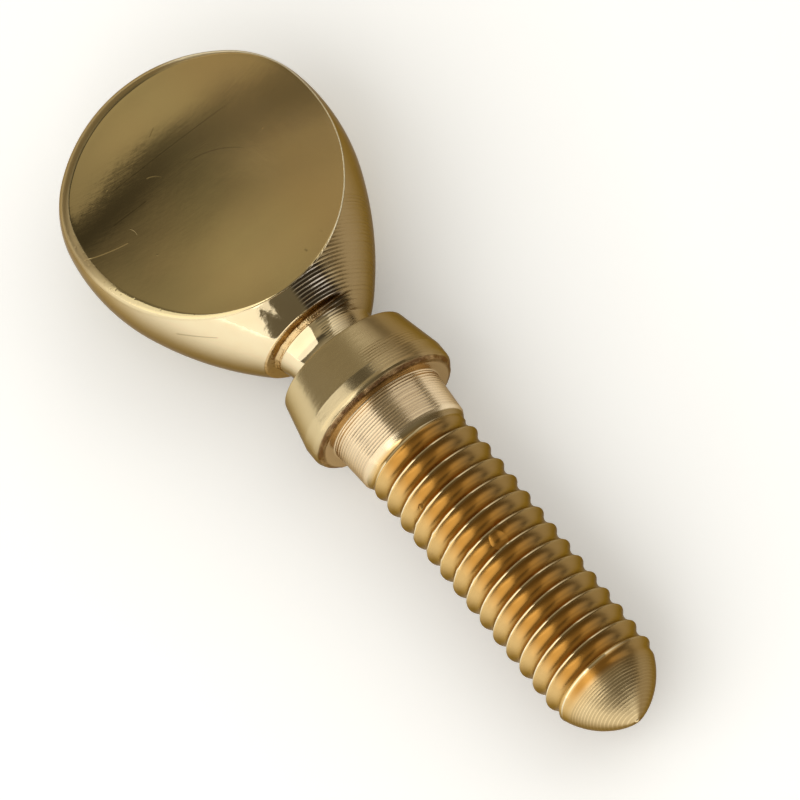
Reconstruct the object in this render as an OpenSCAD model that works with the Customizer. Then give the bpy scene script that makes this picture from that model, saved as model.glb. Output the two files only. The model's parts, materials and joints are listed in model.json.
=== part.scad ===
// Saxophone neck screw: a brass thumbscrew turned in one piece, with two scalloped thumb faces.
// It lies on its side as it comes to rest, on the heel of one thumb face and on the collar.
// Millimetres. The origin is where the screw's axis meets the collar's seat, X runs towards the tip.

/* [Head] */
// Diameter of the head at its widest
head_dia = 10.04; // [8.5:0.02:12]
// Radius of the arc that turns the side into the crown
shoulder_r = 3.4; // [2.6:0.1:4]
// Radius of the arc around the widest part
girth_r = 6.9; // [5.5:0.1:9]
// Radius of the long arc down to the neck
flank_r = 12.4; // [10:0.1:16]
// Slope of the profile where the crown meets the shoulder
shoulder_slope = 48; // [42:1:56]
// Slope of the profile where the shoulder meets the girth
girth_slope = 10; // [5:1:18]
// Slope of the profile where the girth meets the flank
flank_slope = 21; // [16:1:26]
// Length of the head from its widest part to its heel at the neck
flank_len = 6.3; // [5.4:0.1:7]

/* [Thumb faces] */
// Radius of the scallop across each thumb face
scallop_r = 12.7; // [10:0.1:18]
// Thickness of the web between the two scallops
web_t = 2.76; // [1.8:0.02:4]
// Distance of the scallops' deepest line above the widest part
scallop_rise = 0.65; // [0:0.05:1.5]

/* [Neck] */
// Diameter of the rough ring left under the head
ring_dia = 3.6; // [3.4:0.05:4]
// Length of that ring
ring_len = 0.26; // [0.1:0.02:0.5]
// Diameter of the neck at its waist
neck_dia = 3.28; // [2.8:0.02:3.4]
// Length of the hollowed neck
neck_len = 1.1; // [0.6:0.05:1.6]
// Depth of the hollow in the neck
neck_hollow = 0.14; // [0.05:0.01:0.3]

/* [Collar] */
// Diameter of the collar at its seat
collar_dia = 5.66; // [5:0.02:7]
// Diameter of the collar at its end towards the head
collar_top_dia = 4.92; // [4.2:0.02:4.98]
// Length of the collar
collar_len = 2.4; // [1.6:0.05:3.5]
// Length of the straight band next to the seat
collar_band = 0.75; // [0.4:0.05:1.2]
// Rounding of the collar's edge at the seat
collar_round = 0.14; // [0.05:0.01:0.25]

/* [Shank] */
// Diameter of the plain shank at the seat
shank_dia = 4.3; // [4.15:0.02:4.6]
// Diameter of the plain shank at its far end
shank_end_dia = 4.12; // [4.05:0.01:4.14]
// Length of the plain shank
shank_len = 1.52; // [1:0.02:3]
// Diameter at the bottom of the relief between the shank and the thread
relief_dia = 3.78; // [3.4:0.02:3.9]
// Length of that relief, which is two bevels
relief_len = 0.58; // [0.4:0.02:1]

/* [Thread] */
// Outside diameter of the thread
thread_dia = 4; // [3.96:0.01:4.04]
// Length of the thread
thread_len = 9.95; // [6:0.05:14]

/* [Tip] */
// Radius of the arc that rounds the tip
tip_r = 2.9; // [2.5:0.1:4]
// Length of the rounded tip
tip_len = 2.08; // [1.6:0.02:2.3]

/* [Hidden] */
$fn = 96;
// Facets along each arc of a turned profile
arc_steps = 12;
// Room that the cutters have beyond what they cut
spare = 1;

// Stations along the axis, from the seat, negative towards the head
collar_top = -collar_len;
neck_top = collar_top - neck_len;
heel = neck_top - ring_len;
girth = heel - flank_len;
relief_start = shank_len;
thread_start = relief_start + relief_len;
thread_end = thread_start + thread_len;

// A point at a distance from a centre, in the profile plane of radius and station.
// The slope is counted from straight outwards, positive towards the tip.
function polar(centre, distance, slope) = centre + distance * [cos(slope), sin(slope)];

// Points along an arc between two slopes
function arc(centre, radius, from, to) =
    [for (i = [0:arc_steps]) polar(centre, radius, from + (to - from) * i / arc_steps)];

// Points along the shorter arc of a given radius from a to b, bulging to the right of the way from a to b
function arc_between(a, b, radius) =
    let (chord = b - a, left = [-chord[1], chord[0]] / norm(chord))
    let (centre = (a + b) / 2 + left * sqrt(radius * radius - chord * chord / 4))
    let (from = a - centre, to = b - centre)
    arc(centre, radius, atan2(from[1], from[0]), atan2(to[1], to[0]));

// Where two circles cross, on the right of the way from the first centre to the second
function crossing(c1, r1, c2, r2) =
    let (way = (c2 - c1) / norm(c2 - c1))
    let (along = (norm(c2 - c1) + (r1 * r1 - r2 * r2) / norm(c2 - c1)) / 2)
    c1 + along * way + sqrt(r1 * r1 - along * along) * [way[1], -way[0]];

// Centres of the four tangent arcs that make the head's profile
girth_centre = [head_dia / 2 - girth_r, girth];
shoulder_centre = polar(girth_centre, girth_r - shoulder_r, -girth_slope);
flank_centre = polar(girth_centre, girth_r - flank_r, flank_slope);
// The crown's arc runs on from the shoulder, with its centre on the axis
crown_r = shoulder_r + shoulder_centre[0] / cos(shoulder_slope);
crown_centre = polar(shoulder_centre, shoulder_r - crown_r, -shoulder_slope);
heel_slope = asin((heel - flank_centre[1]) / flank_r);

// Centre of the scallop's arc, in the profile plane
scallop_centre = [web_t / 2 + scallop_r, girth - scallop_rise];

// The heel of a thumb face, the lower end of its rim, stands out furthest on the lying screw's underside
face_heel = crossing(scallop_centre, scallop_r, flank_centre, flank_r);
// Turn about Y that puts the heel and the collar on one level
lay_tilt = atan((face_heel[0] - collar_dia / 2) / (-collar_round - face_heel[1]));

// Head turned to its profile, with a scallop milled across each side
module head() {
    difference() {
        rotate_extrude() polygon(concat(
            [[0, heel]],
            arc(crown_centre, crown_r, -90, -shoulder_slope),
            arc(shoulder_centre, shoulder_r, -shoulder_slope, -girth_slope),
            arc(girth_centre, girth_r, -girth_slope, flank_slope),
            arc(flank_centre, flank_r, flank_slope, heel_slope)
        ));
        for (side = [-1, 1])
            translate([side * scallop_centre[0], 0, scallop_centre[1]])
                rotate([90, 0, 0])
                    cylinder(r = scallop_r, h = head_dia + 2 * spare, center = true);
    }
}

// Ring and hollowed neck between the head and the collar
module neck() {
    edge = neck_dia / 2 + neck_hollow;
    hollow_r = (neck_len * neck_len / 4 + neck_hollow * neck_hollow) / (2 * neck_hollow);
    rotate_extrude() {
        translate([0, heel]) square([ring_dia / 2, ring_len]);
        difference() {
            translate([0, neck_top]) square([edge, neck_len]);
            translate([neck_dia / 2 + hollow_r, neck_top + neck_len / 2]) circle(r = hollow_r);
        }
    }
}

// Collar: a cone that widens to a straight band, and a flat seat with a rounded edge
module collar() {
    edge = collar_dia / 2 - collar_round;
    rotate_extrude() {
        polygon([
            [0, collar_top], [collar_top_dia / 2, collar_top], [collar_dia / 2, -collar_band],
            [collar_dia / 2, -collar_round], [edge, 0], [0, 0]
        ]);
        translate([edge, -collar_round]) circle(r = collar_round);
    }
}

// Plain shank, which tapers a little, and the relief before the thread
module shank() {
    rotate_extrude() polygon([
        [0, 0], [shank_dia / 2, 0], [shank_end_dia / 2, relief_start],
        [relief_dia / 2, relief_start + relief_len / 2], [thread_dia / 2, thread_start], [0, thread_start]
    ]);
}

// The thread's outside, with the rounded tip
module thread() {
    translate([0, 0, thread_start]) cylinder(d = thread_dia, h = thread_len);
    rotate_extrude() polygon(concat(
        [[0, thread_end]],
        arc_between([thread_dia / 2, thread_end], [0, thread_end + tip_len], tip_r)
    ));
}

module neck_screw() {
    color("darkkhaki")
        rotate([0, 90 + lay_tilt, 0]) {
            head();
            neck();
            collar();
            shank();
            thread();
        }
}

neck_screw();
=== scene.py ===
# %% [markdown]
# # A saxophone neck screw
# This screw clamps the neck of a saxophone in its socket. It is turned from one brass bar: a head with
# two hollow thumb faces, a short neck, a collar that bears on the clamp, a plain shank, a fine thread and
# a rounded tip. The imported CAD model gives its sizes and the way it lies. Blender adds what a lathe, a
# thread die and a polishing wheel leave on it.

# %% Load the frame
import json

import bmesh
import bpy
import numpy as np
from mathutils import Matrix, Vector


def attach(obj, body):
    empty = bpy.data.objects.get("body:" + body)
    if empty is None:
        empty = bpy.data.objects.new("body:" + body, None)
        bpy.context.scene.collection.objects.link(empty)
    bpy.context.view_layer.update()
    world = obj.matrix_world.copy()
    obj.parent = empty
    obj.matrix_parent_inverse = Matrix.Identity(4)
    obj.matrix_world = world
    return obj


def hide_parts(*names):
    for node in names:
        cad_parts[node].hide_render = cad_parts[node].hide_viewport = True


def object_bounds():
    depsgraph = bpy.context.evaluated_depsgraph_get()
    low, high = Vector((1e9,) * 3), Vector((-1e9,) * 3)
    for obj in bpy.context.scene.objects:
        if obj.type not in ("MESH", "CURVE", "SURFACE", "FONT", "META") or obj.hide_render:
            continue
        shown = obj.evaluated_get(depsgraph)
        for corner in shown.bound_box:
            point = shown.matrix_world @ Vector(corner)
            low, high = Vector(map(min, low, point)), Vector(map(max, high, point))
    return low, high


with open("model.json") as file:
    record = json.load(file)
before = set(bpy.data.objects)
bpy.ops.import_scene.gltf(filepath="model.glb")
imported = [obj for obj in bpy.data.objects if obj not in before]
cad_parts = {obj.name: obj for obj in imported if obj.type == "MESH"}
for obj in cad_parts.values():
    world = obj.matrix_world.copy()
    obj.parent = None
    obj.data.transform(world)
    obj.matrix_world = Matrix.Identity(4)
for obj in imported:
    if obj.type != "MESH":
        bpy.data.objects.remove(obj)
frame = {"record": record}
cad_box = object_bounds()
print("CAD box, mm:", np.round(1000 * (np.array(cad_box[1]) - np.array(cad_box[0])), 2))

# %% [markdown]
# ## The screw's own frame
# A turned part is easiest to describe along its axis. A point is given as station, across and out, in
# millimetres: station runs from the collar's seat towards the tip, across is level, and out leaves the
# upper thumb face. The screw lies a little nose down, and the record's seat says by how much.

# %% From the screw's frame to the shared frame
ALONG = np.array(frame["record"]["mounts"][0]["axis"])
ACROSS = np.array([0.0, 1.0, 0.0])
OUT = np.cross(ALONG, ACROSS)


def turn(v):
    """A direction in the shared frame: station * ALONG + across * ACROSS + out * OUT."""
    return np.asarray(v) @ np.stack([ALONG, ACROSS, OUT])


def place(p):
    """A point of the screw's frame, in millimetres, as a point of the shared frame in metres."""
    return 0.001 * turn(p)


print("the tip points down by", round(float(np.degrees(np.arcsin(-ALONG[2]))), 2), "degrees")

# %% [markdown]
# ## Camera
# The photograph shows the screw almost from straight above its thumb face, a little from the tip's side,
# with the axis running down to the right. There is hardly any perspective, so the lens is long and far
# away. The camera's three axes are worked out from the lean, the roll and the slant on the picture.

# %% Camera
LEAN, ROLL, SLANT = np.radians([20.992, 4.599, 50.7])
SCALE = 30.0
WIDTH = 800.0
SEAT_PIXEL = np.array([386.8, 414.0])
SENSOR, LENS = 36.0, 1400.0

view_along = np.array([np.cos(LEAN), np.sin(ROLL) * np.sin(LEAN), -np.cos(ROLL) * np.sin(LEAN)])
view_across = np.array([0.0, np.cos(ROLL), np.sin(ROLL)])
to_camera = np.array([np.sin(LEAN), -np.sin(ROLL) * np.cos(LEAN), np.cos(ROLL) * np.cos(LEAN)])
right = np.cos(SLANT) * view_along + np.sin(SLANT) * view_across
up = -np.sin(SLANT) * view_along + np.cos(SLANT) * view_across
middle = ((WIDTH / 2 - SEAT_PIXEL[0]) * right + (SEAT_PIXEL[1] - WIDTH / 2) * up) / SCALE

camera_data = bpy.data.cameras.new("camera")
camera_data.sensor_width, camera_data.lens = SENSOR, LENS
distance = LENS / SENSOR * WIDTH / SCALE
camera_data.clip_start, camera_data.clip_end = 0.01, 10.0
camera = bpy.data.objects.new("camera", camera_data)
bpy.context.scene.collection.objects.link(camera)
pose = np.eye(4)
pose[:3, :3] = np.stack([turn(right), turn(up), turn(to_camera)], axis=1)
pose[:3, 3] = place(middle + distance * to_camera)
camera.matrix_world = Matrix(pose.tolist())
bpy.context.scene.camera = camera
print("camera", round(distance, 1), "mm from the screw")

# %% [markdown]
# ## The turned head
# On the lathe the head is one shape of revolution: a flat crown, a round shoulder, the widest girth and a
# long flank down to the neck. Each is an arc of a circle that runs on smoothly into the next, so an arc's
# centre lies on the line through the joint and the centre before it.

# %% Radius of the head along its axis
HEAD_R, SHOULDER_R, GIRTH_R, FLANK_R = 5.014, 3.4, 6.9, 12.4
CROWN_TURN, SHOULDER_TURN, FLANK_TURN = -48, -10, 21
HEEL, GIRTH = -3.76, -10.06


def polar(centre, reach, slope):
    """A point of the profile as (radius, station): centre + reach * (cos slope, sin slope)."""
    return np.asarray(centre) + reach * np.array([np.cos(np.radians(slope)), np.sin(np.radians(slope))])


girth_centre = np.array([HEAD_R - GIRTH_R, GIRTH])
shoulder_centre = polar(girth_centre, GIRTH_R - SHOULDER_R, SHOULDER_TURN)
flank_centre = polar(girth_centre, GIRTH_R - FLANK_R, FLANK_TURN)
CROWN_R = SHOULDER_R + shoulder_centre[0] / np.cos(np.radians(CROWN_TURN))
crown_centre = polar(shoulder_centre, SHOULDER_R - CROWN_R, CROWN_TURN)
CENTRES = np.stack([crown_centre, shoulder_centre, girth_centre, flank_centre])
RADII = np.array([CROWN_R, SHOULDER_R, GIRTH_R, FLANK_R])
JOINTS = [polar(shoulder_centre, SHOULDER_R, CROWN_TURN)[1],
          polar(girth_centre, GIRTH_R, SHOULDER_TURN)[1],
          polar(girth_centre, GIRTH_R, FLANK_TURN)[1]]
CROWN = crown_centre[1] - CROWN_R


def head_radius(s):
    """Radius at station s: the arc's own centre + sqrt(R^2 - (s - centre's station)^2)."""
    arc = np.searchsorted(JOINTS, s)
    return CENTRES[arc, 0] + np.sqrt(np.maximum(RADII[arc] ** 2 - (s - CENTRES[arc, 1]) ** 2, 0))


def head_slope(s):
    """How fast the radius changes with s: -(s - centre's station) / (radius - centre's radius)."""
    arc = np.searchsorted(JOINTS, s)
    return -(s - CENTRES[arc, 1]) / np.maximum(head_radius(s) - CENTRES[arc, 0], 1e-6)


print("head from", round(CROWN, 2), "to", HEEL, "mm, widest", 2 * HEAD_R, "mm")

# %% [markdown]
# ## The thumb faces
# A round cutter mills one hollow across each side of the head. The hollow is a piece of a cylinder, so its
# height depends on the station alone. Where it runs out through the turned side it leaves the rim, an egg
# shape that is wide at the crown and narrow at the neck. All other points of the head hang on this rim.

# %% Rim of a thumb face
SCALLOP_R, WEB, DEEPEST = 12.7, 2.76, GIRTH - 0.65
HALF_RIM = 120


def scallop(s):
    """Height of the hollow above the axis: half the web + R - sqrt(R^2 - (s - deepest)^2)."""
    return WEB / 2 + SCALLOP_R - np.sqrt(SCALLOP_R**2 - (s - DEEPEST) ** 2)


def scallop_slope(s):
    """How fast that height changes with s: (s - deepest) / sqrt(R^2 - (s - deepest)^2)."""
    return (s - DEEPEST) / np.sqrt(SCALLOP_R**2 - (s - DEEPEST) ** 2)


def unit(v):
    """Each vector divided by its own length."""
    return v / np.linalg.norm(v, axis=-1, keepdims=True)


def smooth_step(low, high, x):
    """0 below low, 1 above high, and 3t^2 - 2t^3 between them."""
    t = np.clip((x - low) / (high - low), 0, 1)
    return t * t * (3 - 2 * t)


fine = np.linspace(CROWN + 1e-4, HEEL, 60001)
room = head_radius(fine) ** 2 - scallop(fine) ** 2
ends = np.flatnonzero(np.diff(np.sign(room)))
ends = fine[ends] - room[ends] * (fine[ends + 1] - fine[ends]) / (room[ends + 1] - room[ends])
sweep = np.linspace(0, np.pi, 6001)


def half_rim(sweep):
    """Points (s, y, z) of the rim: s runs as a cosine, z = scallop(s), y = sqrt(r^2 - z^2)."""
    s = ends.mean() - (ends[1] - ends[0]) / 2 * np.cos(sweep)
    y = np.sqrt(np.maximum(head_radius(s) ** 2 - scallop(s) ** 2, 0)) * (np.sin(sweep) > 1e-9)
    return np.stack([s, y, scallop(s)], axis=-1)


steps = np.linalg.norm(np.diff(half_rim(sweep), axis=0), axis=1)
length = np.concatenate([[0], np.cumsum(steps)])
even = half_rim(np.interp(np.linspace(0, length[-1], HALF_RIM + 1), length, sweep))
corner = np.concatenate([even, even[-2:0:-1] * [1, -1, 1]])
print("rim of", len(corner), "points,", round(2 * length[-1], 1), "mm round, stations", np.round(ends, 2))

# %% [markdown]
# ## Breaking the rim's edge
# Polishing rubs the sharp rim away, and not evenly: on the screw in the photograph the edge is still crisp
# along one side and is drawn out into a soft round along the other. The rounding is an arc that touches
# both surfaces, so a radius and the angle between the surfaces give every point of it.

# %% Rounded rim
ROUND_STEPS = 5
round_rim = np.arange(2 * HALF_RIM) / (2 * HALF_RIM)
rubbed = np.interp(round_rim, [0, 0.12, 0.2, 0.3, 0.4, 0.47, 0.53, 0.6, 0.68, 0.8, 0.9, 1],
                   [0.33, 0.14, 0.06, 0.05, 0.05, 0.08, 0.08, 0.18, 0.36, 0.42, 0.36, 0.33])
rim_s = corner[:, 0]
way = unit(np.roll(corner, -1, axis=0) - np.roll(corner, 1, axis=0))


def face_out(s):
    """Direction that leaves the upper hollow: (-slope, 0, 1), made one long."""
    return unit(np.stack([-scallop_slope(s), 0 * s, 1 + 0 * s], axis=-1))


def side_out(p):
    """Direction that leaves the turned side at p: (-slope, y / r, z / r), made one long."""
    r = np.hypot(p[..., 1], p[..., 2])
    return unit(np.stack([-head_slope(p[..., 0]), p[..., 1] / r, p[..., 2] / r], axis=-1))


into_face = np.cross(face_out(rim_s), way)
into_face *= np.sign(np.sum(into_face * ([ends.mean(), 0, 0] - corner * [1, 1, 0]), axis=1))[:, None]
down_side = np.cross(side_out(corner), way)
down_side *= -np.sign(np.sum(down_side * face_out(rim_s), axis=1))[:, None]
angle = np.arccos(np.sum(into_face * down_side, axis=1))

bend = np.linspace(0, 1, ROUND_STEPS + 1)[:, None] * (np.pi - angle) / 2
away = (rubbed / np.tan(angle / 2) - rubbed * np.sin(bend))[..., None]
sink = (rubbed * (1 - np.cos(bend)))[..., None]

face_edge = corner + away * into_face
face_edge[..., 2] = scallop(face_edge[..., 0])
face_edge = face_edge - sink * face_out(face_edge[..., 0])
side_edge = corner + away * down_side
to_side = head_radius(side_edge[..., 0]) / np.hypot(side_edge[..., 1], side_edge[..., 2])
side_edge[..., 1:] *= to_side[..., None]
side_edge = side_edge - sink * side_out(side_edge)
face_edge[-1] = side_edge[-1] = (face_edge[-1] + side_edge[-1]) / 2
print("the edge is", np.round(np.degrees([angle.min(), angle.max()]), 0), "degrees inside")

# %% [markdown]
# ## Sheets of points
# Every surface here is a grid: rows one way, columns the other. A sheet keeps its points and the marks
# that the brass reads later. Sheets meet in shared rows of points, which are welded at the end.

# %% A list of sheets
sheets = []


def add_sheet(points, **marks):
    """Keeps a grid of points (rows, columns, 3), with a number from 0 to 1 for each mark at each point."""
    grid = points.shape[:2]
    sheets.append((points, {name: np.broadcast_to(m, grid) for name, m in marks.items()}))
    print("sheet", len(sheets), "has", grid, "points")


# %% The two thumb faces
RINGS, CROWNED = 30, 0.05
flat_middle = np.array([ends.mean(), 0, 0])
inward = np.linspace(0, 1, RINGS + 1)[:-1, None, None]
plan = flat_middle + inward * (face_edge[0] * [1, 1, 0] - flat_middle)
plan[..., 2] = scallop(plan[..., 0]) + CROWNED * (1 - inward[..., 0] ** 2) ** 2
face = np.concatenate([plan, face_edge])
face = np.concatenate([face, face[:, :1]], axis=1)
on_face = np.concatenate([np.ones(RINGS), np.linspace(1, 0.5, ROUND_STEPS + 1)])[:, None]
OVER = np.array([1, -1, -1])
add_sheet(face, face=on_face)
add_sheet(face * OVER, face=on_face)

# %% [markdown]
# ## The side of the head
# Between the two rims the turned side is left. Each row of points goes round it from the upper rim to the
# lower one. At the two ends of the rim the rows close to full circles, and plain circles carry on to the
# crown's middle on one side and to the neck on the other.

# %% Side bands and crown
HALF_TURN = 56


def side_band(upper, lower, lift):
    """Rows between the rims: station and angle run evenly from edge to edge, the radius is the head's."""
    a = np.arctan2(upper[0, :, 2], upper[0, :, 1])
    b = np.arctan2(lower[0, :, 2], lower[0, :, 1]) + lift
    t = np.linspace(0, 1, HALF_TURN + 1)[1:-1, None]
    s = upper[0, :, 0] + t * (lower[0, :, 0] - upper[0, :, 0])
    r, angle = head_radius(s), a + t * (b - a)
    arc = np.stack([s, r * np.cos(angle), r * np.sin(angle)], axis=-1)
    return np.concatenate([upper[::-1], arc, lower])


near = np.arange(HALF_RIM + 1)
far = -near % (2 * HALF_RIM)
edge_mark = np.concatenate([np.linspace(0.5, 0, ROUND_STEPS + 1), np.zeros(HALF_TURN - 1),
                            np.linspace(0, 0.5, ROUND_STEPS + 1)])[:, None]
add_sheet(side_band(side_edge[:, near], side_edge[:, far] * OVER, 0), face=edge_mark)
add_sheet(side_band(side_edge[:, far], side_edge[:, near] * OVER, 2 * np.pi), face=edge_mark)

COLUMNS = np.pi / 2 - np.linspace(0, 2 * np.pi, 2 * HALF_TURN + 1)


def revolve(s, r):
    """A profile carried round the axis: (s, r cos angle, r sin angle) for each column's angle."""
    s, r = np.broadcast_arrays(np.asarray(s).reshape(len(s), -1), np.asarray(r).reshape(len(s), -1))
    return np.stack([s + 0 * COLUMNS, r * np.cos(COLUMNS), r * np.sin(COLUMNS)], axis=-1)


crown_row, heel_row = side_edge[0, 0, 0], side_edge[0, HALF_RIM, 0]
cap = CROWN + (crown_row - CROWN) * np.linspace(0, 1, 14) ** 2
add_sheet(revolve(cap, head_radius(cap)))

# %% [markdown]
# ## Heel, neck, collar and shank
# From the heel of the head to the end of the shank the lathe makes cones, steps and one hollow. The profile
# is a line of corners, each rounded by its own small radius, because no turned corner is quite sharp.

# %% A profile with rounded corners
NECK_AT, NECK_LEN, WAIST_R, HOLLOW = -2.95, 1.1, 1.64, 0.14
STEP_FOOT, STEP_R, STEP_FOOT_R = -3.64, 1.87, 1.81
COLLAR_TOP, COLLAR_EDGE, COLLAR_TOP_R, COLLAR_R = -2.4, -0.75, 2.46, 2.83
SHANK_R, SHANK_END_R, SHANK_END = 2.15, 2.06, 1.52
RELIEF_AT, RELIEF_R = 1.81, 1.89
THREAD_FROM = 1.62
HEEL_ROUNDS = [0.05, 0.05, 0.03]
COLLAR_ROUNDS = [0.04, 0.05, 0.13, 0.34, 0.05, 0.03]
hollow_r = (NECK_LEN**2 / 4 + HOLLOW**2) / (2 * HOLLOW)


def rounded(points, radii, step):
    """Puts an arc in each corner, radius / tan(half the angle) from it on either line.

    The straight stretches are filled with points no more than a step apart."""
    points = np.asarray(points, float)
    line = [points[:1]]
    for before, p, after, radius in zip(points[:-2], points[1:-1], points[2:], radii):
        if not radius:
            line.append(p[None])
            continue
        a, b = unit(before - p), unit(after - p)
        half = np.arccos(np.clip(a @ b, -1, 1)) / 2
        start, stop = p + a * radius / np.tan(half), p + b * radius / np.tan(half)
        hub = p + unit(a + b) * radius / np.sin(half)
        part = np.linspace(0, 1, 6)[:, None]
        line.append(hub + radius * unit((1 - part) * (start - hub) + part * (stop - hub)))
    line = np.concatenate(line + [points[-1:]])
    gaps = np.linalg.norm(np.diff(line, axis=0), axis=1)
    run = np.concatenate([[0], np.cumsum(gaps)])
    counts = np.maximum(np.ceil(gaps / step).astype(int), 1)
    real = gaps > 1e-9
    at = np.concatenate([run[:-1][real].repeat(counts[real]), run[-1:]])
    firsts = np.concatenate([[0], np.cumsum(counts[real])])[:-1]
    nth = np.arange(len(at) - 1) - firsts.repeat(counts[real])
    at[:-1] += nth * (gaps / counts)[real].repeat(counts[real])
    return np.stack([np.interp(at, run, line[:, 0]), np.interp(at, run, line[:, 1])], axis=1)


flank = np.linspace(heel_row, HEEL, 14)
flank = np.stack([flank, head_radius(flank)], axis=1)
off_waist = NECK_LEN / 2 * np.linspace(-1, 1, 13)
neck = np.stack([NECK_AT + off_waist, WAIST_R + hollow_r - np.sqrt(hollow_r**2 - off_waist**2)], axis=1)
below = [[HEEL, STEP_R], [STEP_FOOT, STEP_FOOT_R]]
shank_end = SHANK_END_R - (SHANK_END_R - RELIEF_R) * (THREAD_FROM - SHANK_END) / (RELIEF_AT - SHANK_END)
collar = [[COLLAR_TOP, COLLAR_TOP_R], [COLLAR_EDGE, COLLAR_R], [0, COLLAR_R], [0, SHANK_R],
          [SHANK_END, SHANK_END_R], [THREAD_FROM, shank_end]]
corners = np.concatenate([flank, below, neck[1:], collar])
radii = np.zeros(len(corners) - 2)
radii[len(flank) - 2:len(flank) + 1] = HEEL_ROUNDS
radii[-6:] = COLLAR_ROUNDS
turned = rounded(corners, radii, 0.11)
print("turned profile:", len(turned), "points, ends at", turned[-1])

# %% [markdown]
# ## Torn step and burr
# Where the tool was pulled back, the step at the heel is torn and the seat's edge carries a burr. On the
# far side of the screw the step has gone: there the heel runs out into the neck in one smooth curve.

# %% Torn step, burr and run-out
STEP_AT, BURR_AT = -3.68, -0.04
RUN_FROM, RUN_BEND, RUN_TO, RUN_SLOPE = -4.3, -3.55, -3.25, 0.78


def ragged(angle, *waves):
    """An uneven line round the screw, from 0 to 1: sines of whole numbers of waves, each weaker."""
    level = sum(np.sin(n * angle + 0.7 * n * n) / (k + 1) for k, n in enumerate(waves))
    return np.clip(0.5 + 0.35 * level, 0, 1)


def bump_at(s, middle, half):
    """A smooth hill along the screw: 1 at the middle, 0 from half a width away."""
    return np.clip(1 - ((s - middle) / half) ** 2, 0, 1)[:, None]


open_side = smooth_step(0.1, 0.8, np.cos(COLUMNS))
torn_step = bump_at(turned[:, 0], STEP_AT, 0.12) * ragged(COLUMNS, 17, 29, 43)
turned_r = turned[:, 1:] - 0.05 * torn_step * (1 - smooth_step(-0.1, 0.4, np.cos(COLUMNS)))
at_seat = bump_at(turned[:, 0], BURR_AT, 0.2) * smooth_step(2.5, 2.7, turned[:, 1:])
turned_r = turned_r - 0.06 * at_seat * ragged(COLUMNS, 11, 23, 37, 53) ** 2

head_row, neck_row = np.searchsorted(turned[:, 0], [RUN_FROM, RUN_TO])
rows = slice(head_row, neck_row + 1)
head_end, neck_end = turned[head_row], turned[neck_row]
waist = np.array([RUN_BEND, head_end[1] - RUN_SLOPE * (RUN_BEND - head_end[0])])
part = np.linspace(0, 1, neck_row - head_row + 1)[:, None]
run_out = (1 - part) ** 2 * head_end + 2 * part * (1 - part) * waist + part**2 * neck_end
turned_s = turned[:, :1] + 0 * COLUMNS
turned_s[rows] += open_side * (run_out[:, :1] - turned_s[rows])
turned_r[rows] += open_side * (run_out[:, 1:] - turned_r[rows])
add_sheet(revolve(turned_s, turned_r))

# %% [markdown]
# ## The thread
# A die cuts the thread: a rounded groove that winds round the blank, with a torn crest here and there. The
# screw's surface is then the lower of two surfaces, the turned blank and the winding groove. The rows of
# points follow the helix, so that the crest stays a clean line, and are stopped at a circle at either end.

# %% Blank and groove
PITCH, CREST_AT, CREST_ANGLE = 0.7412, 2.437, np.radians(4.6)
THREAD_R, ROOT, CREST_FLAT = 2.0, 0.17, 0.05
SOFT, WORN, TEAR = 0.008, 0.22, 0.022
FULL_AT, DOME_AT = 2.1, 12.05
THREAD_TO = 13.35
DOME_HUB, DOME_R = np.array([-0.8134, 11.3463]), 2.9


def blank(s):
    """Radius before the thread is cut: two bevels of the relief, a cylinder, then the tip's arc."""
    dome = DOME_HUB[0] + np.sqrt(np.maximum(DOME_R**2 - (s - DOME_HUB[1]) ** 2, 0))
    straight = np.interp(s, [SHANK_END, RELIEF_AT, FULL_AT], [SHANK_END_R, RELIEF_R, THREAD_R])
    return np.where(s > DOME_AT, np.maximum(dome, 0), straight)


def groove(s, angle):
    """Depth of the groove: the root's depth times one minus the square of how far the root still is.

    That distance falls from 1 beside the crest's flat to 0 halfway to the next crest. The flat's edges are
    softened, and the flat is worn down a little towards the tip."""
    turns = (s - CREST_AT) / PITCH - (angle - CREST_ANGLE) / (2 * np.pi)
    nearest = np.round(turns)
    aside = (turns - nearest) * PITCH
    torn = bump_at(s.reshape(-1), 5.4, 3.2).reshape(s.shape) * smooth_step(0.1, 0.8, -np.cos(angle))
    wander = np.sin(13 * angle + 2.1 * nearest) + 0.7 * np.sin(29 * angle - 1.3 * nearest)
    half = CREST_FLAT / 2 + TEAR * torn * np.clip(wander, -0.3, 1.5)
    beside = np.log1p(np.exp((np.abs(aside) - half) / SOFT)) * SOFT / (PITCH / 2 - half)
    depth = ROOT * (1 - (1 - np.minimum(beside, 1)) ** 2)
    near_crest = 1 - smooth_step(0.1, 0.3, np.abs(aside))
    depth = depth + WORN * np.clip(aside + half, 0, 2 * half) * near_crest
    return depth * smooth_step(THREAD_FROM, THREAD_FROM + 0.4, s)


TURN_ROWS = np.array([0, 0.014, 0.026, 0.038, 0.055, 0.09, 0.16, 0.25, 0.34, 0.42])
TURN_ROWS = np.concatenate([TURN_ROWS, [0.5], 1 - TURN_ROWS[:0:-1]])
start_turn = np.floor((THREAD_FROM - CREST_AT) / PITCH) - 1
turns = np.arange(start_turn, start_turn + np.ceil((THREAD_TO - THREAD_FROM) / PITCH) + 4)
along = (turns[:, None] + TURN_ROWS).reshape(-1, 1)
helix_s = CREST_AT + PITCH * (along + (COLUMNS - CREST_ANGLE) / (2 * np.pi))
helix_s = np.clip(helix_s, THREAD_FROM, THREAD_TO)
cut = groove(helix_s, COLUMNS)
helix_r = np.minimum(blank(helix_s), np.maximum(blank(helix_s), THREAD_R) - cut)
thread = np.stack([helix_s, helix_r * np.cos(COLUMNS), helix_r * np.sin(COLUMNS)], axis=-1)
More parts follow.
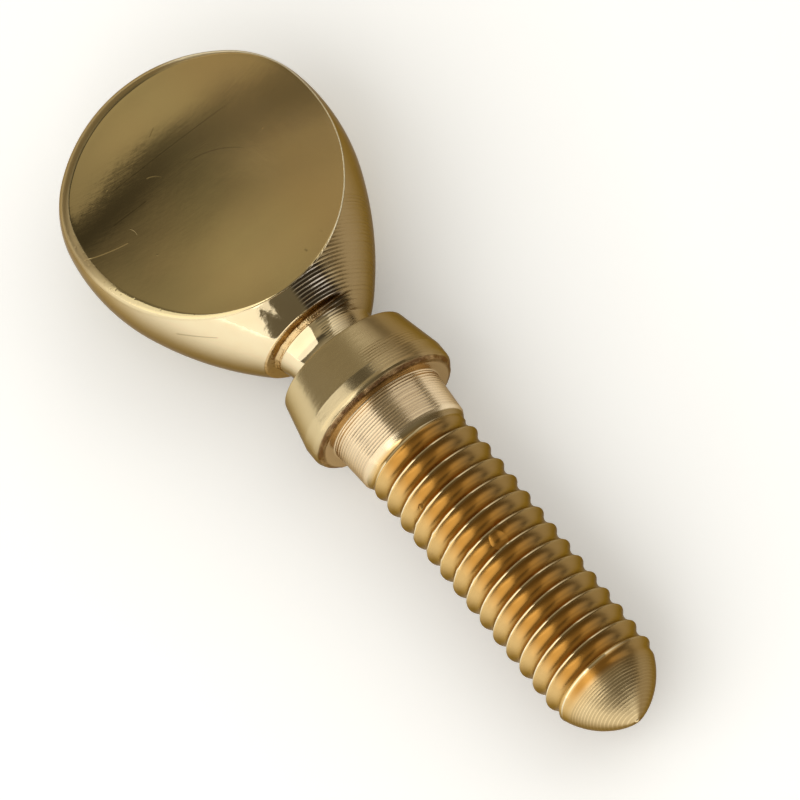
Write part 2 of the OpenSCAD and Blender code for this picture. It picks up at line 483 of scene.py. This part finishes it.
threaded = np.clip((helix_s - THREAD_FROM) / 0.2, 0, 1) * np.clip((13.0 - helix_s) / 0.3, 0, 1)
add_sheet(thread, thread=threaded, groove=np.clip(cut / ROOT, 0, 1))

# %% The rounded tip
NUB_AT, NUB_R, END = 14.045, 0.12, 14.122
dome = np.linspace(THREAD_TO, NUB_AT, 22)
dome_r = np.maximum(blank(dome), NUB_R)
quarter = np.linspace(0, np.pi / 2, 6)[1:]
nub = END - (END - NUB_AT) * np.cos(quarter) ** 2
nub_r = NUB_R * np.cos(quarter)
add_sheet(revolve(np.concatenate([dome, nub]), np.concatenate([dome_r, nub_r])))

# %% [markdown]
# ## Welding the sheets
# Points of neighbouring sheets that fall on each other get one number, and cells that have shrunk to a
# line or a point are dropped. The result is one closed skin, as the real screw is one piece.

# %% One closed mesh
WELD = 1e-4
points = np.concatenate([p.reshape(-1, 3) for p, _ in sheets])
cells, passed = [], 0
for p, _ in sheets:
    n = passed + np.arange(p.shape[0] * p.shape[1]).reshape(p.shape[:2])
    cells.append(np.stack([n[:-1, :-1], n[:-1, 1:], n[1:, 1:], n[1:, :-1]], axis=-1).reshape(-1, 4))
    passed += n.size
cells = np.concatenate(cells)
_, kept, number = np.unique(np.round(points / WELD).astype(np.int64), axis=0, return_index=True,
                            return_inverse=True)
points = points[kept]
cells = number.reshape(-1)[cells]
same = cells == np.roll(cells, -1, axis=1)
quads = cells[~same.any(axis=1)]
quads = quads[(quads[:, 0] != quads[:, 2]) & (quads[:, 1] != quads[:, 3])]
threes = cells[same.sum(axis=1) == 1]
drop = same[same.sum(axis=1) == 1].argmax(axis=1)
keep = (drop[:, None] + np.array([1, 2, 3])) % 4
threes = np.take_along_axis(threes, keep, axis=1)

mesh = bpy.data.meshes.new("neck_screw_brass")
mesh.from_pydata(place(points).tolist(), [], quads.tolist() + threes.tolist())
print(len(points), "points after welding")

# %% [markdown]
# ## Marks kept with the points
# The brass has to know what each point belongs to. Three marks come with the sheets. A fourth is painted
# shade: 1 on the far side, and a little less on the underside and the shoulder by the crown.

# %% Marks
marks = {}
for name in ("face", "thread", "groove"):
    marks[name] = np.concatenate([m.get(name, np.zeros(p.shape[:2])).reshape(-1) for p, m in sheets])[kept]
sideways, upwards = unit(points[:, 1:] + 1e-9).T
# painted shade: brown on the far side, the underside and the shoulder by the crown
shaded = np.maximum(smooth_step(0.15, 0.65, sideways), 0.85 * smooth_step(-0.55, 0.05, -upwards))
shaded = shaded * (1 - smooth_step(0.05, 0.3, marks["face"]))
shoulder = smooth_step(8.8, 10.6, -points[:, 0]) * (1 - smooth_step(0.8, 1.0, marks["face"]))
marks["painted_shade"] = np.maximum(shaded, 0.72 * shoulder)
for name, values in marks.items():
    mesh.attributes.new(name, "FLOAT", "POINT").data.foreach_set("value", values.astype(np.float32))
print("marks:", *marks)

# %% The screw as one object
skin = bmesh.new()
skin.from_mesh(mesh)
bmesh.ops.recalc_face_normals(skin, faces=skin.faces)
open_edges = sum(not e.is_manifold for e in skin.edges)
print("volume", round(skin.calc_volume() * 1e9, 1), "mm3, edges that aren't closed:", open_edges)
skin.to_mesh(mesh)
skin.free()
mesh.polygons.foreach_set("use_smooth", np.ones(len(mesh.polygons), bool))
mesh.update()
screw = bpy.data.objects.new("neck_screw_brass", mesh)
bpy.context.scene.collection.objects.link(screw)
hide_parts("neck_screw")
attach(screw, "root")
print(len(quads), "quads,", len(threes), "triangles:", 2 * len(quads) + len(threes), "triangles in all")

# %% [markdown]
# ## Brass
# The finish is one material that knows where on the screw it is. It reads the mesh's own coordinates,
# turned so that the first one runs along the axis in millimetres, and the marks kept with the points.

# %% Nodes in short
brass = bpy.data.materials.new("lacquered_brass")
brass.use_nodes = True
mesh.materials.append(brass)
tree = brass.node_tree


def node(kind, *values, **settings):
    """Adds a node: settings are its properties, values fill its inputs as links or plain numbers."""
    made = tree.nodes.new("ShaderNode" + kind)
    for name, value in settings.items():
        setattr(made, name, value)
    for socket, value in zip(made.inputs, values):
        if isinstance(value, bpy.types.NodeSocket):
            tree.links.new(value, socket)
        elif value is not None:
            socket.default_value = value
    return made


def calc(operation, *values):
    """One step of arithmetic."""
    return node("Math", *values, operation=operation).outputs[0]


def between(x, low, high, start=0.0, stop=1.0):
    """A soft step: start where x is below low, stop where it is above high."""
    return node("MapRange", x, low, high, start, stop, interpolation_type="SMOOTHSTEP").outputs[0]


def mark(name):
    """A number that was kept with each point of the mesh."""
    return node("Attribute", attribute_name=name).outputs["Fac"]


def blend(share, a, b):
    """Colour a where share is 0, colour b where it is 1."""
    made = node("Mix", data_type="RGBA")
    for socket, value in zip((made.inputs[0], made.inputs[6], made.inputs[7]), (share, a, b)):
        if isinstance(value, bpy.types.NodeSocket):
            tree.links.new(value, socket)
        else:
            socket.default_value = value
    return made.outputs[2]


object_point = node("TexCoord").outputs["Object"]
dip = float(np.arcsin(-ALONG[2]))
screw_mm = node("Mapping", object_point, None, (0, -dip, 0), (1000, 1000, 1000)).outputs[0]
station, across, out = node("SeparateXYZ", screw_mm).outputs
off_axis = node("CombineXYZ", 0.0, across, out).outputs[0]
radius = node("VectorMath", off_axis, operation="LENGTH").outputs["Value"]
on_face, on_thread, in_groove, shade_mask = (mark(n) for n in ("face", "thread", "groove", "painted_shade"))
print("the brass knows its station, across, out, radius and marks")

# %% [markdown]
# ## Marks of the lathe
# A turning tool leaves a fine screw line. On the polished head it is gone, but near the neck, on the
# collar's band, on the shank and on the tip it still shows as rings. A ring is a shallow cup, as the round
# nose of the tool leaves it, and a slow noise makes some rings deeper than others. They are far too small
# to model, so they are a bump. Heights are in thousandths of a millimetre.

# %% Turning rings
def noise(vector=None, w=None, scale=1.0, detail=2.0, rough=0.5, size="3D"):
    """Cloudy noise from 0 to 1."""
    made = node("TexNoise", noise_dimensions=size)
    made.inputs["Scale"].default_value = scale
    made.inputs["Detail"].default_value = detail
    made.inputs["Roughness"].default_value = rough
    if vector is not None:
        tree.links.new(vector, made.inputs["Vector"])
    if w is not None:
        tree.links.new(w, made.inputs["W"])
    return made.outputs[0]


def within(x, low, high, soft):
    """1 between low and high, falling to 0 over a soft stretch on either side."""
    return calc("MULTIPLY", between(x, low - soft, low), between(x, high, high + soft, 1.0, 0.0))


wobble = calc("MULTIPLY", noise(screw_mm, scale=0.7, detail=1.0), 0.05)
ring_phase = calc("ADD", station, wobble)


def cups(spacing):
    """Rings side by side, each a shallow cup: 4 * (fraction - 1/2)^2 of the spacing."""
    aside = calc("SUBTRACT", calc("FRACT", calc("DIVIDE", ring_phase, spacing)), 0.5)
    return calc("MULTIPLY", calc("MULTIPLY", aside, aside), 4.0)


fine_cups = cups(0.105)
tip_cups = cups(0.082)
uneven = noise(w=station, scale=9.0, detail=3.0, rough=0.7, size="1D")
grain = noise(w=station, scale=34.0, detail=2.0, rough=0.8, size="1D")

heel_rings = calc("MULTIPLY", within(station, -6.2, -3.8, 0.6), between(across, -0.15, 0.1))
heel_rings = calc("MULTIPLY", heel_rings, calc("SUBTRACT", 1.0, on_face))
neck_rings = calc("MULTIPLY", within(station, -3.45, -2.8, 0.1), within(across, 0.1, 0.9, 0.3))
band_rings = calc("MULTIPLY", within(station, -1.15, -0.15, 0.3), within(across, 0.6, 2.0, 0.45))
shank_rings = within(station, 0.05, 1.45, 0.05)
tip_rings = within(station, 12.75, 14.0, 0.15)

depth = calc("MULTIPLY", heel_rings, 12.0)
depth = calc("ADD", depth, calc("MULTIPLY", neck_rings, 6.0))
depth = calc("ADD", depth, calc("MULTIPLY", band_rings, 9.0))
depth = calc("ADD", depth, calc("MULTIPLY", shank_rings, 8.0))
rings = calc("MULTIPLY", fine_cups, depth)
rings = calc("MULTIPLY_ADD", tip_cups, calc("MULTIPLY", tip_rings, 4.0), rings)
rings = calc("MULTIPLY", rings, between(uneven, 0.3, 0.62, 0.5, 1.2))
turned_part = calc("MULTIPLY", between(station, -0.1, 0.1), calc("SUBTRACT", 1.0, on_thread))
rings = calc("ADD", rings, calc("MULTIPLY", grain, calc("MULTIPLY", turned_part, 3.0)))
print("rings at the heel, neck, collar, shank and tip")

# %% [markdown]
# ## Polish
# The thumb faces were rubbed on a wheel. That leaves fine streaks along the strokes and slow waves that bend
# what the brass mirrors, so that the dark band across the face isn't straight. Both are noises: one drawn
# out along the stroke, one large and soft.

# %% Streaks and waves on the thumb faces
bowed = calc("ADD", station, calc("MULTIPLY", calc("MULTIPLY", across, across), 0.03))
stroke = node("CombineXYZ", calc("MULTIPLY", bowed, 9.0), calc("MULTIPLY", across, 0.45), 0.0).outputs[0]
streaks = noise(stroke, scale=1.0, detail=4.0, rough=0.7)
waves = noise(screw_mm, scale=0.26, detail=1.0, rough=0.45)
smears = noise(screw_mm, scale=1.1, detail=3.0, rough=0.6)
polish = calc("ADD", calc("MULTIPLY", streaks, 1.4), calc("MULTIPLY", waves, 130.0))
polish = calc("MULTIPLY_ADD", smears, 3.0, polish)
polish = calc("MULTIPLY", polish, on_face)
heel_flank = calc("MULTIPLY", within(station, -6.5, -3.9, 0.5), calc("SUBTRACT", 1.0, on_face))
polish = calc("MULTIPLY_ADD", calc("MULTIPLY", smears, heel_flank), 5.0, polish)
height = calc("ADD", rings, polish)
print("streaks, smears and waves on the faces")

# %% [markdown]
# ## Scratches
# The screw has been carried loose and handled. A scratch is the distance from a bowed line between two
# points on the upper face, turned into a thin stroke. Some are cut into the surface and shine, some have
# only taken up dirt and stay dark.

# %% Scratches
upper_half = between(out, 0.3, 0.6)


def hairline(a, b, bow=0.0, width=0.022):
    """A scratch from a to b, each (station, across): 1 on it, 0 a width away, bowed by 4 bow t (1 - t)."""
    a, b = np.array(a), np.array(b)
    run = float(np.linalg.norm(b - a))
    ahead = (b - a) / run
    aside = np.array([-ahead[1], ahead[0]])
    t = node("VectorMath", screw_mm, (*ahead, 0), operation="DOT_PRODUCT").outputs["Value"]
    t = calc("MULTIPLY_ADD", t, 1 / run, -float(a @ ahead) / run)
    off = node("VectorMath", screw_mm, (*aside, 0), operation="DOT_PRODUCT").outputs["Value"]
    off = calc("SUBTRACT", off, float(a @ aside))
    arch = calc("SUBTRACT", t, calc("MULTIPLY", t, t))
    off = calc("ABSOLUTE", calc("MULTIPLY_ADD", arch, -4.0 * bow, off))
    line = calc("MULTIPLY", between(off, 0.0, width, 1.0, 0.0), within(t, 0.05, 0.95, 0.08))
    return calc("MULTIPLY", line, upper_half)


bright_scratches = [
    hairline((-10.45, -4.75), (-9.95, -3.19), -0.05),
    hairline((-10.33, -2.86), (-9.98, -2.79), 0.05),
    hairline((-11.37, -1.37), (-11.10, -0.93), 0.05),
    hairline((-6.57, -3.99), (-6.43, -4.03)),
]
dark_scratches = [
    hairline((-11.74, -2.52), (-11.73, 2.25), 0.03),
    hairline((-10.94, 0.18), (-10.19, 1.77), 0.15),
    hairline((-12.64, -0.09), (-12.46, -0.41)),
    hairline((-10.77, -3.21), (-10.75, -1.83), 0.0, 0.035),
    hairline((-5.49, 1.17), (-5.35, 1.19), 0.0, 0.07),
    hairline((-5.72, 1.95), (-5.62, 2.02)),
    hairline((-6.41, -3.85), (-5.20, -2.89), -0.03, 0.018),
]
for line, deep in zip(bright_scratches, (6.0, 2.5, 1.5, 2.0)):
    height = calc("MULTIPLY_ADD", line, -deep, height)
darkened = dark_scratches[0]
for line in dark_scratches[1:]:
    darkened = calc("MAXIMUM", darkened, line)
print(len(bright_scratches) + len(dark_scratches), "scratches")

# %% [markdown]
# ## Dents
# Knocks leave small bowls, a few on the faces and many along the rim, where the metal is thin and stands
# out. A Voronoi pattern strews points, and a share of them become bowls.

# %% Dents
def dents(spacing, size, share):
    """Bowls in a share of the cells of a Voronoi pattern: 1 at the cell's point, 0 a size away."""
    cells = node("TexVoronoi", screw_mm)
    cells.inputs["Scale"].default_value = 1 / spacing
    bowl = between(cells.outputs["Distance"], 0.0, size / spacing, 1.0, 0.0)
    chance = node("SeparateColor", cells.outputs["Color"]).outputs[0]
    return calc("MULTIPLY", bowl, calc("LESS_THAN", chance, share))


rim_edge = calc("SUBTRACT", 1.0, calc("ABSOLUTE", calc("MULTIPLY_ADD", on_face, 2.0, -1.0)))
height = calc("MULTIPLY_ADD", dents(0.7, 0.04, 0.35), -5.0, height)
rim_dents = calc("MULTIPLY", dents(0.16, 0.06, 0.5), between(rim_edge, 0.0, 0.4))
height = calc("ADD", height, calc("MULTIPLY", rim_dents, between(across, 1.0, 3.0, -4.0, -9.0)))
print("dents on the faces and along the rim")

# %% [markdown]
# ## Torn metal, brushing and lacquer
# Where the tool was pulled back, at the heel's step and at the collar's seat, the brass is torn and was
# never polished. The collar was brushed round, and the lacquer ran together into a few drops on the thread.

# %% Torn metal, brushing and drops
bruises = noise(screw_mm, scale=2.2, detail=3.0, rough=0.6)
height = calc("ADD", height, calc("MULTIPLY", bruises, 3.0))
seat_face = calc("MULTIPLY", within(station, -0.10, 0.30, 0.05), between(radius, 2.5, 2.64))
closed_side = between(calc("DIVIDE", across, radius), 0.1, 0.5, 1.0, 0.0)
rough_ring = calc("MULTIPLY", within(station, -3.80, -3.56, 0.03), closed_side)
crumbs = noise(screw_mm, scale=4.5, detail=4.0, rough=0.65)
torn = calc("MULTIPLY", crumbs, calc("MULTIPLY_ADD", seat_face, 110.0, calc("MULTIPLY", rough_ring, 45.0)))
height = calc("ADD", height, torn)
patch = calc("MULTIPLY", within(station, 0.7, 1.3, 0.3), within(across, -1.35, -1.2, 0.15))
patch = calc("MULTIPLY", calc("MULTIPLY", patch, upper_half), between(crumbs, 0.35, 0.7))


def bead(centre, wide, long):
    """A drop of lacquer on top of the screw at (station, across): 1 - d^2 inside an oval, 0 outside it."""
    d_long = calc("DIVIDE", calc("SUBTRACT", station, centre[0]), long)
    d_wide = calc("DIVIDE", calc("SUBTRACT", across, centre[1]), wide)
    d = calc("MULTIPLY_ADD", d_long, d_long, calc("MULTIPLY", d_wide, d_wide))
    return calc("MULTIPLY", calc("MAXIMUM", calc("SUBTRACT", 1.0, d), 0.0), upper_half)


sweep_way = node("VectorMath", screw_mm, (5.0, 1.2, 1.2), operation="MULTIPLY").outputs[0]
brushed = noise(sweep_way, scale=1.0, detail=3.0, rough=0.6)
on_collar = within(station, -2.38, -0.05, 0.05)
height = calc("MULTIPLY_ADD", calc("MULTIPLY", brushed, on_collar), 7.0, height)
height = calc("MULTIPLY_ADD", bead((6.72, 0.08), 0.3, 0.4), 40.0, height)
height = calc("MULTIPLY_ADD", bead((6.35, 0.45), 0.2, 0.3), 14.0, height)
height = calc("MULTIPLY_ADD", bead((3.9, -1.2), 0.1, 0.12), 30.0, height)
print("torn rings, a brushed collar and three drops")

# %% [markdown]
# ## Colour of the metal
# Bare brass is pale yellow. Lacquer and handling make it olive on the thumb faces and deep gold in the
# thread. Painted shade darkens the left of the faces and the middle of the thread's grooves, a painted warm
# reflection tints the right of the faces, and a painted highlight lies along the thread's crests. Each place
# gets its own colour, blended in by a mask.

# %% Colour of the metal
PALE, OLIVE = (0.87, 0.74, 0.49, 1), (0.79, 0.64, 0.32, 1)
# the first two colours on the next line are painted: shade on the left of the faces, a warm reflection on
# the right
FACE_SHADE, FACE_WARM_REFLECTION, CLOUD = (0.46, 0.38, 0.20, 1), (0.72, 0.50, 0.22, 1), (0.72, 0.54, 0.28, 1)
COLLAR_OLIVE = (0.58, 0.46, 0.25, 1)
# the second colour on the next line is painted shade in the grooves, the third a painted highlight on the
# crests
GOLD, GROOVE_SHADE_AMBER, CREST_HIGHLIGHT = (0.66, 0.43, 0.15, 1), (0.46, 0.22, 0.04, 1), (0.95, 0.84, 0.60, 1)
TIP_GOLD = (0.84, 0.64, 0.34, 1)


def tint(under, mask, strength, colour):
    """Blends a colour over what lies under it: its share is mask * strength."""
    return blend(calc("MULTIPLY", mask, strength), under, colour)


clouds = noise(screw_mm, scale=0.45, detail=3.0, rough=0.55)
# painted shade: the left of the thumb faces is darker
left_face_shade = calc("MULTIPLY", between(across, -3.8, -0.6, 0.65, 0.0), on_face)
# painted reflection: the right of the thumb faces is warmer
right_face_reflection = calc("MULTIPLY", between(across, 0.0, 3.0, 0.0, 0.6), on_face)
# painted shade: the middle of the thread's grooves is deep amber
middle_groove_shade = calc("MULTIPLY", between(in_groove, 0.03, 0.45), within(across, -0.9, 1.1, 0.9))
# painted highlight: the thread's crests are pale
crest = calc("MULTIPLY", on_thread, between(in_groove, 0.02, 0.09, 1.0, 0.0))
on_tip = between(station, 12.5, 12.8)

base = blend(on_face, PALE, OLIVE)
base = blend(left_face_shade, base, FACE_SHADE)
base = blend(right_face_reflection, base, FACE_WARM_REFLECTION)
base = tint(base, between(clouds, 0.35, 0.7), 0.35, CLOUD)
base = tint(base, on_collar, 0.8, COLLAR_OLIVE)
base = tint(base, on_thread, 0.85, GOLD)
base = tint(base, calc("MULTIPLY", middle_groove_shade, on_thread), 0.95, GROOVE_SHADE_AMBER)
base = tint(base, crest, 0.9, CREST_HIGHLIGHT)
base = tint(base, on_tip, 0.8, TIP_GOLD)
print("colours of head, collar, thread and tip")

# %% [markdown]
# ## Painted shade, painted highlights and darker valleys
# The far side, the underside and the crown's shoulder are painted brown as shade. The valleys between the
# tool's rings are darker; at the heel they are painted nearly black as shade. The corner of the seat is
# darker too. The ridges between the heel's rings and one side of the rim carry painted pale highlights.

# %% Painted shade, painted highlights and darker valleys
# painted colours: the first brown is painted shade, the next two pale colours are painted highlights, and
# the near black on the next line is painted shade
SHADE_BROWN, PALE_RIM_HIGHLIGHT, RIDGE_HIGHLIGHT = (0.24, 0.155, 0.06, 1), (0.95, 0.86, 0.64, 1), (0.92, 0.86, 0.84, 1)
VALLEY_SHADE_BLACK, RING_VALLEY_BROWN, TIP_VALLEY_BROWN = (0.085, 0.06, 0.045, 1), (0.36, 0.25, 0.12, 1), (0.22, 0.14, 0.055, 1)
SHANK_ROSE, FILLET_BROWN = (0.84, 0.66, 0.46, 1), (0.52, 0.36, 0.19, 1)
DARK_STAIN, LIGHT_STAIN = (0.16, 0.075, 0.03, 1), (0.42, 0.27, 0.13, 1)
TORN_GOLD, SMEAR, SCRATCH = (0.60, 0.37, 0.13, 1), (0.40, 0.32, 0.22, 1), (0.20, 0.14, 0.06, 1)

on_shank = within(station, 0.0, 1.6, 0.05)
shade_mask = calc("MULTIPLY", shade_mask, calc("SUBTRACT", 1.0, calc("MULTIPLY", on_shank, 0.75)))
# painted highlight: a pale line along one side of the rim
rim_highlight = calc("MULTIPLY", between(rim_edge, 0.3, 0.7), between(across, 1.0, 2.5))
valley = between(fine_cups, 0.3, 0.7, 1.0, 0.0)
# painted shade in the valleys of the heel's rings
heel_valley_shade = calc("MULTIPLY", calc("MULTIPLY", heel_rings, within(across, 0.0, 1.1, 0.35)), valley)
# painted highlight on the ridges between the heel's rings
heel_ridge_highlight = calc("MULTIPLY", heel_rings, within(across, 0.0, 0.9, 0.3))
heel_ridge_highlight = calc("MULTIPLY", heel_ridge_highlight, calc("SUBTRACT", 1.0, valley))
# darker in the valleys of the collar's, shank's and tip's rings
ring_valleys_dark = calc("MULTIPLY", calc("MAXIMUM", band_rings, shank_rings), valley)
tip_valleys_dark = calc("MULTIPLY", tip_rings, between(tip_cups, 0.3, 0.7, 1.0, 0.0))
fillet = calc("MULTIPLY", within(station, -0.1, 0.2, 0.08), between(radius, 2.12, 2.24))
patches = between(noise(screw_mm, scale=2.0, detail=4.0, rough=0.6), 0.42, 0.66)
stain = blend(patches, DARK_STAIN, LIGHT_STAIN)

# painted shade: the far side, the underside and the crown's shoulder turn brown
base = tint(base, shade_mask, 0.9, SHADE_BROWN)
base = tint(base, rim_highlight, 0.9, PALE_RIM_HIGHLIGHT)
base = tint(base, heel_valley_shade, 0.88, VALLEY_SHADE_BLACK)
base = tint(base, heel_ridge_highlight, 0.8, RIDGE_HIGHLIGHT)
base = tint(base, ring_valleys_dark, 0.45, RING_VALLEY_BROWN)
base = tint(base, tip_valleys_dark, 0.35, TIP_VALLEY_BROWN)
base = tint(base, on_shank, 0.5, SHANK_ROSE)
base = tint(base, fillet, 0.7, FILLET_BROWN)
base = tint(base, seat_face, 0.9, stain)
base = tint(base, rough_ring, 0.6, TORN_GOLD)
base = tint(base, patch, 0.4, SMEAR)
base = tint(base, darkened, 0.45, SCRATCH)
# the rings' valleys are darker, at the heel as painted shade, and the rim's pale line is a painted highlight
print("dirt in the rings, a worn rim and a stained seat")

# %% [markdown]
# ## Gloss and relief
# How sharply brass mirrors depends on how it was finished: the turned side of the head is the sharpest, the
# collar and the thread are softer, and torn places and the places painted as shade scatter the light. All
# heights go into one bump.

# %% Gloss and relief
MICRON = 1e-6


def grey(level):
    """A plain level in place of a colour."""
    return (level, level, level, 1)


face_gloss = between(across, -3.0, 3.0, 0.085, 0.26)
face_gloss = node("CombineColor", face_gloss, face_gloss, face_gloss).outputs[0]
left_rim = calc("MULTIPLY", between(rim_edge, 0.0, 0.25), between(across, -2.0, 0.5, 1.0, 0.0))
left_rim = calc("MULTIPLY", left_rim, between(station, -8.5, -9.5))
gloss = blend(on_face, grey(0.08), face_gloss)
gloss = blend(left_rim, gloss, grey(0.4))
gloss = blend(on_collar, gloss, grey(0.24))
gloss = tint(gloss, on_thread, between(in_groove, 0.05, 0.3), grey(0.28))
gloss = blend(within(station, 0.0, 1.6, 0.02), gloss, grey(0.22))
gloss = blend(tip_rings, gloss, grey(0.36))
gloss = tint(gloss, shade_mask, 0.8, grey(0.32))
gloss = tint(gloss, rough_ring, 0.8, grey(0.25))
gloss = blend(seat_face, gloss, grey(0.4))

relief = node("Bump", 1.0, MICRON)
tree.links.new(height, relief.inputs["Height"])
bsdf = tree.nodes["Principled BSDF"]
bsdf.inputs["Metallic"].default_value = 1.0
bsdf.inputs["Specular Tint"].default_value = (0.5, 0.4, 0.27, 1)
tree.links.new(base, bsdf.inputs["Base Color"])
tree.links.new(gloss, bsdf.inputs["Roughness"])
tree.links.new(relief.outputs[0], bsdf.inputs["Normal"])
print(len(tree.nodes), "nodes in the brass")

# %% [markdown]
# ## Floor
# The screw lies on white paper. What the camera and the brass see of it is partly its own white, so that
# it stays pale at a plain light level, and partly the light that falls on it, which keeps the shadow.

# %% White paper
HALF_PAPER, GLOW_LEVEL = 2.0, 0.55
floor_z = cad_box[0][2]
floor_mesh = bpy.data.meshes.new("floor")
paper_edge = [(HALF_PAPER * x, HALF_PAPER * y, floor_z) for x, y in ((-1, -1), (1, -1), (1, 1), (-1, 1))]
floor_mesh.from_pydata(paper_edge, [], [(0, 1, 2, 3)])
floor = bpy.data.objects.new("floor", floor_mesh)
bpy.context.scene.collection.objects.link(floor)
paper = bpy.data.materials.new("white_paper")
paper.use_nodes = True
tree = paper.node_tree
paper_bsdf = tree.nodes["Principled BSDF"]
paper_bsdf.inputs["Base Color"].default_value = (0.86, 0.88, 0.9, 1)
paper_bsdf.inputs["Roughness"].default_value = 0.9
paper_bsdf.inputs["Specular IOR Level"].default_value = 0.0
ray = node("LightPath").outputs
seen = calc("MAXIMUM", ray["Is Camera Ray"], ray["Is Glossy Ray"])
seen = calc("MAXIMUM", seen, ray["Is Transmission Ray"])
open_sky = node("AmbientOcclusion", None, 0.010, samples=3).outputs["AO"]
glow = calc("MULTIPLY", calc("MULTIPLY", seen, open_sky), GLOW_LEVEL)
paper_bsdf.inputs["Emission Color"].default_value = (1, 1, 0.985, 1)
tree.links.new(glow, paper_bsdf.inputs["Emission Strength"])
floor_mesh.materials.append(paper)
print("paper at", round(1000 * floor_z, 3), "mm")

# %% [markdown]
# ## Light
# Polished metal has no shade of its own: it shows what stands round it. Three soft lamps give it bright
# things to mirror, a large one on the near side, a weaker one on the far side and a narrow one towards the
# tip. A lamp is placed by the direction in which the brass would see it.

# %% Softboxes
AIM = place([-2, 0, 0])


def softbox(name, az, tilt, reach, wide, tall, level, colour):
    """A lamp that faces the screw from an azimuth (0 is the tip's side) and an angle from straight up.

    Its power is level * pi * area, so that level is how bright it looks in a mirror."""
    az, tilt = np.radians([az, tilt])
    way = turn([np.sin(tilt) * np.cos(az), np.sin(tilt) * np.sin(az), np.cos(tilt)])
    data = bpy.data.lights.new(name, "AREA")
    data.shape, data.size, data.size_y = "RECTANGLE", wide, tall
    data.energy, data.color = level * np.pi * wide * tall, colour
    level_way = unit(np.cross([0, 0, 1], way))
    grid = np.eye(4)
    grid[:3, :3] = np.stack([level_way, np.cross(way, level_way), way], axis=1)
    grid[:3, 3] = reach * way + AIM
    lamp = bpy.data.objects.new(name, data)
    bpy.context.scene.collection.objects.link(lamp)
    lamp.matrix_world = Matrix(grid.tolist())
    print("lamp", name, "of", round(float(data.energy), 3), "W")


softbox("window_side", -80, 57, 0.20, 0.30, 0.32, 1.1, (1, 0.99, 0.97))
softbox("far_side", 106, 50, 0.25, 0.34, 0.24, 0.52, (1, 0.97, 0.92))
softbox("tip_side", -38, 47, 0.25, 0.07, 0.16, 0.9, (1, 0.99, 0.97))

# %% [markdown]
# ## Room
# The hollow thumb faces mirror the ceiling, lengthways over the screw. The room is therefore a warm grey
# that changes along the screw's axis, with one dark stretch that becomes the dark band across the face.

# %% Room
world = bpy.data.worlds.new("studio")
bpy.context.scene.world = world
world.use_nodes = True
nodes, links = world.node_tree.nodes, world.node_tree.links
where = nodes.new("ShaderNodeTexCoord")
lengthways = nodes.new("ShaderNodeVectorMath")
lengthways.operation = "DOT_PRODUCT"
lengthways.inputs[1].default_value = ALONG.tolist()
to_ramp = nodes.new("ShaderNodeMapRange")
to_ramp.inputs["From Min"].default_value = -1.0
ramp = nodes.new("ShaderNodeValToRGB")
links.new(where.outputs["Generated"], lengthways.inputs[0])
links.new(lengthways.outputs["Value"], to_ramp.inputs["Value"])
links.new(to_ramp.outputs["Result"], ramp.inputs["Fac"])
links.new(ramp.outputs["Color"], nodes["Background"].inputs["Color"])
WARM = 1.08 * np.array([1.0, 0.87, 0.62])
stops = [(-1, 0.24), (-0.92, 0.38), (-0.81, 0.36), (-0.62, 0.24), (-0.42, 0.10), (-0.31, 0.045),
         (-0.20, 0.07), (-0.15, 0.36), (0.05, 0.38), (0.3, 0.25), (0.65, 0.12)]
ramp.color_ramp.interpolation = "B_SPLINE"
while len(ramp.color_ramp.elements) < len(stops):
    ramp.color_ramp.elements.new(0.5)
for e, (x, v) in zip(ramp.color_ramp.elements, stops):
    e.position = (x + 1) / 2
    e.color = (*(WARM * v).tolist(), 1)
bpy.context.scene.view_settings.view_transform = "Standard"
print("room with", len(stops), "stops along the axis")
